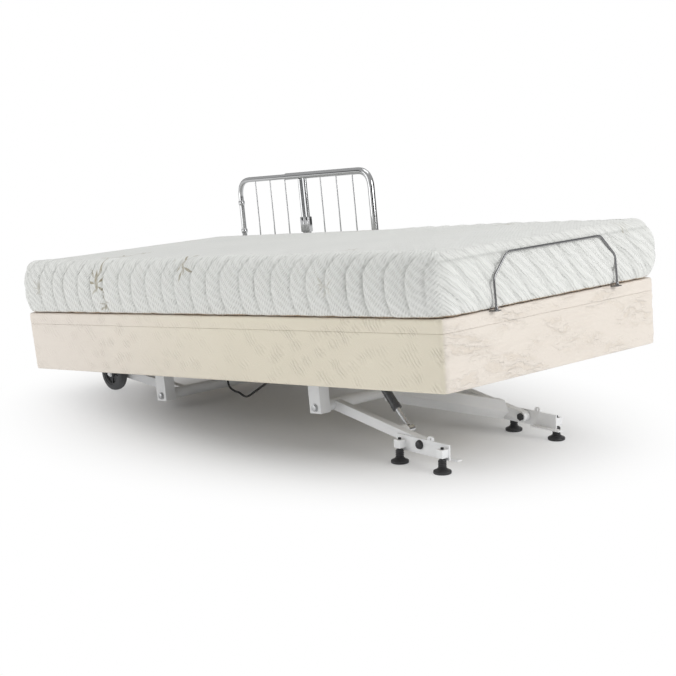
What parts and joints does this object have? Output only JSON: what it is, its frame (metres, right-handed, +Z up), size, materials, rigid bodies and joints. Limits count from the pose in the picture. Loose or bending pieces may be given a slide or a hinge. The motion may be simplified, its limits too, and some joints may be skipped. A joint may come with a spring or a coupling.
{
  "type": "adjustable bed base",
  "caption": "Hi-lo adjustable bed: quilted fabric base on two hinged leg frames, hinged deck with mattress, lift actuators, chrome assist rail and foot-end mattress retainer.",
  "frame": {"origin": "on the floor, under the centre of the bed's bounding box", "axes": "+X from the head to the foot of the bed, +Y to the lying person's left (the assist rail's side), +Z up"},
  "size_m": [2.06, 0.9416, 0.7578],
  "materials": {
    "cream_fabric": "cream quilted woven cover over a padded board",
    "mattress_knit": "white quilted knit cover over foam",
    "powder_coat": "satin white-grey powder coat",
    "chrome": "bright chrome plate",
    "polished_rod": "ground and polished steel",
    "black_nickel": "dark nickel plate",
    "zinc_plate": "zinc plate",
    "black_bolt": "black oxide",
    "black_plastic": "fine-grained black plastic",
    "lead_jacket": "smooth black cable jacket",
    "leveler_black": "black moulded foot",
    "tyre_rubber": "dark grey rubber",
    "wheel_hub_plastic": "dark moulded hub"
  },
  "bodies": {
    "floor_rocker_right": {"rocker_foot_right": "powder_coat", "rocker_bolt_right": "black_bolt"},
    "leveler_head_right": {"leveler_head_right": "leveler_black"},
    "leveler_foot_right": {"leveler_foot_right": "leveler_black"},
    "foot_leg": {"foot_torque_tube": "powder_coat", "foot_arm_right": "powder_coat", "foot_arm_left": "powder_coat", "foot_leg_brace": "powder_coat"},
    "floor_rocker_left": {"rocker_foot_left": "powder_coat", "rocker_bolt_left": "black_bolt"},
    "leveler_head_left": {"leveler_head_left": "leveler_black"},
    "leveler_foot_left": {"leveler_foot_left": "leveler_black"},
    "bed_base": {"side_panel_right": "cream_fabric", "side_panel_left": "cream_fabric", "head_panel": "cream_fabric", "foot_panel": "cream_fabric", "frame_beam_right": "powder_coat", "frame_beam_left": "powder_coat", "cross_member_head": "powder_coat", "cross_member_seat": "powder_coat", "cross_member_knee": "powder_coat", "head_bracket_right": "powder_coat", "head_bracket_left": "powder_coat", "foot_bracket_right": "powder_coat", "foot_bracket_left": "powder_coat", "head_pivot_bolt_right": "zinc_plate", "head_pivot_bolt_left": "zinc_plate", "foot_pivot_bolt_right": "zinc_plate", "foot_pivot_bolt_left": "zinc_plate", "deck_seat": "cream_fabric", "mattress_seat": "mattress_knit", "control_box": "black_plastic", "control_lead": "lead_jacket"},
    "head_leg": {"head_torque_tube": "powder_coat", "head_arm_right": "powder_coat", "head_arm_left": "powder_coat"},
    "wheel_right": {"wheel_tyre_right": "tyre_rubber", "wheel_hub_right": "wheel_hub_plastic"},
    "wheel_left": {"wheel_tyre_left": "tyre_rubber", "wheel_hub_left": "wheel_hub_plastic"},
    "foot_lift_housing": {"foot_lift_actuator": "black_plastic"},
    "foot_lift_rod": {"foot_lift_rod": "polished_rod"},
    "head_lift_housing": {"head_lift_actuator": "black_plastic"},
    "head_lift_rod": {"head_lift_rod": "polished_rod"},
    "back_section": {"deck_back": "cream_fabric", "mattress_back": "mattress_knit", "back_lever": "powder_coat", "rail_bracket": "zinc_plate"},
    "back_housing": {"back_actuator": "black_plastic"},
    "back_rod": {"back_rod": "polished_rod"},
    "thigh_section": {"deck_thigh": "cream_fabric", "mattress_thigh": "mattress_knit", "thigh_lever": "powder_coat"},
    "foot_section": {"deck_foot": "cream_fabric", "mattress_foot": "mattress_knit", "mattress_retainer": "black_nickel"},
    "knee_housing": {"knee_actuator": "black_plastic"},
    "knee_rod": {"knee_rod": "polished_rod"},
    "assist_rail": {"assist_rail_head_half": "chrome", "assist_rail_foot_half": "chrome"}
  },
  "joints": [
    {"name": "lift_pivot", "type": "hinge", "parent": "foot_leg", "child": "bed_base", "pos_m": [0.32323, -0.01775, 0.12306], "axis": [0, -1, 0], "range_deg": [0, 30]},
    {"name": "floor_pivot_right", "type": "hinge", "parent": "floor_rocker_right", "child": "foot_leg", "pos_m": [0.70149, -0.24875, 0.063], "axis": [0, 1, 0], "range_deg": [0, 30]},
    {"name": "floor_pivot_left", "type": "hinge", "parent": "foot_leg", "child": "floor_rocker_left", "pos_m": [0.70149, 0.21325, 0.063], "axis": [0, -1, 0], "range_deg": [0, 30]},
    {"name": "head_leg_pivot", "type": "hinge", "parent": "bed_base", "child": "head_leg", "pos_m": [-0.45463, -0.01775, 0.04267], "axis": [0, -1, 0], "range_deg": [0, 30]},
    {"name": "wheel_spin_right", "type": "hinge", "parent": "head_leg", "child": "wheel_right", "pos_m": [-0.81248, -0.25575, 0.0625], "axis": [0, 1, 0], "continuous": true},
    {"name": "wheel_spin_left", "type": "hinge", "parent": "head_leg", "child": "wheel_left", "pos_m": [-0.81248, 0.22025, 0.0625], "axis": [0, 1, 0], "continuous": true},
    {"name": "foot_lift_tail", "type": "hinge", "parent": "bed_base", "child": "foot_lift_housing", "pos_m": [0.3951, -0.18875, 0.29335], "axis": [0, 1, 0], "range_deg": [0, 21.2]},
    {"name": "foot_lift_extend", "type": "slide", "parent": "foot_lift_housing", "child": "foot_lift_rod", "axis": [0.6868, 0, -0.7269], "range_m": [0, 0.083]},
    {"name": "head_lift_tail", "type": "hinge", "parent": "bed_base", "child": "head_lift_housing", "pos_m": [-0.51309, -0.17275, 0.26786], "axis": [0, -1, 0], "range_deg": [0, 17.3]},
    {"name": "head_lift_extend", "type": "slide", "parent": "head_lift_housing", "child": "head_lift_rod", "axis": [-0.6941, 0, -0.7199], "range_m": [0, 0.096]},
    {"name": "back_hinge", "type": "hinge", "parent": "bed_base", "child": "back_section", "pos_m": [-0.16198, -0.01775, 0.3725], "axis": [0, 1, 0], "range_deg": [0, 60], "deforming": ["mattress_back"]},
    {"name": "back_actuator_tail", "type": "hinge", "parent": "bed_base", "child": "back_housing", "pos_m": [0.31011, 0.07225, 0.3278], "axis": [0, 1, 0], "range_deg": [0, 5.5]},
    {"name": "back_actuator_extend", "type": "slide", "parent": "back_housing", "child": "back_rod", "axis": [-0.9909, 0, -0.1348], "range_m": [0, 0.103]},
    {"name": "thigh_hinge", "type": "hinge", "parent": "bed_base", "child": "thigh_section", "pos_m": [0.08669, -0.01775, 0.3982], "axis": [0, -1, 0], "range_deg": [0, 30], "deforming": ["mattress_thigh"]},
    {"name": "knee_hinge", "type": "hinge", "parent": "thigh_section", "child": "foot_section", "pos_m": [0.44869, -0.01775, 0.39741], "axis": [0, 1, 0], "range_deg": [0, 48.8], "deforming": ["mattress_foot"]},
    {"name": "knee_actuator_tail", "type": "hinge", "parent": "bed_base", "child": "knee_housing", "pos_m": [-0.26184, -0.10775, 0.26869], "axis": [0, -1, 0], "range_deg": [0, 2.4]},
    {"name": "knee_actuator_extend", "type": "slide", "parent": "knee_housing", "child": "knee_rod", "axis": [0.9989, 0, 0.0475], "range_m": [0, 0.058]},
    {"name": "rail_drop", "type": "slide", "parent": "back_section", "child": "assist_rail", "axis": [-0.1028, 0, 0.9947], "range_m": [-0.14, 0]},
    {"name": "leveler_head_right_screw", "type": "slide", "parent": "floor_rocker_right", "child": "leveler_head_right", "axis": [0, 0, 1], "range_m": [-0.008, 0.004]},
    {"name": "leveler_foot_right_screw", "type": "slide", "parent": "floor_rocker_right", "child": "leveler_foot_right", "axis": [0, 0, 1], "range_m": [-0.008, 0.004]},
    {"name": "leveler_head_left_screw", "type": "slide", "parent": "floor_rocker_left", "child": "leveler_head_left", "axis": [0, 0, 1], "range_m": [-0.008, 0.004]},
    {"name": "leveler_foot_left_screw", "type": "slide", "parent": "floor_rocker_left", "child": "leveler_foot_left", "axis": [0, 0, 1], "range_m": [-0.008, 0.004]}
  ],
  "couplings": [
    {"joint": "floor_pivot_right", "follows": "lift_pivot", "ratio": 1},
    {"joint": "floor_pivot_left", "follows": "lift_pivot", "ratio": 1},
    {"joint": "head_leg_pivot", "follows": "lift_pivot", "ratio": 0.9971},
    {"joint": "foot_lift_tail", "follows": "lift_pivot", "ratio": 0.6989},
    {"joint": "foot_lift_extend", "follows": "lift_pivot", "m_per_rad": 0.15621},
    {"joint": "head_lift_tail", "follows": "lift_pivot", "ratio": 0.5667},
    {"joint": "head_lift_extend", "follows": "lift_pivot", "m_per_rad": 0.18051},
    {"joint": "back_actuator_tail", "follows": "back_hinge", "ratio": 0.0882},
    {"joint": "back_actuator_extend", "follows": "back_hinge", "m_per_rad": 0.09671},
    {"joint": "knee_hinge", "follows": "thigh_hinge", "ratio": 1.62},
    {"joint": "knee_actuator_tail", "follows": "thigh_hinge", "ratio": 0.0736},
    {"joint": "knee_actuator_extend", "follows": "thigh_hinge", "m_per_rad": 0.10797}
  ]
}
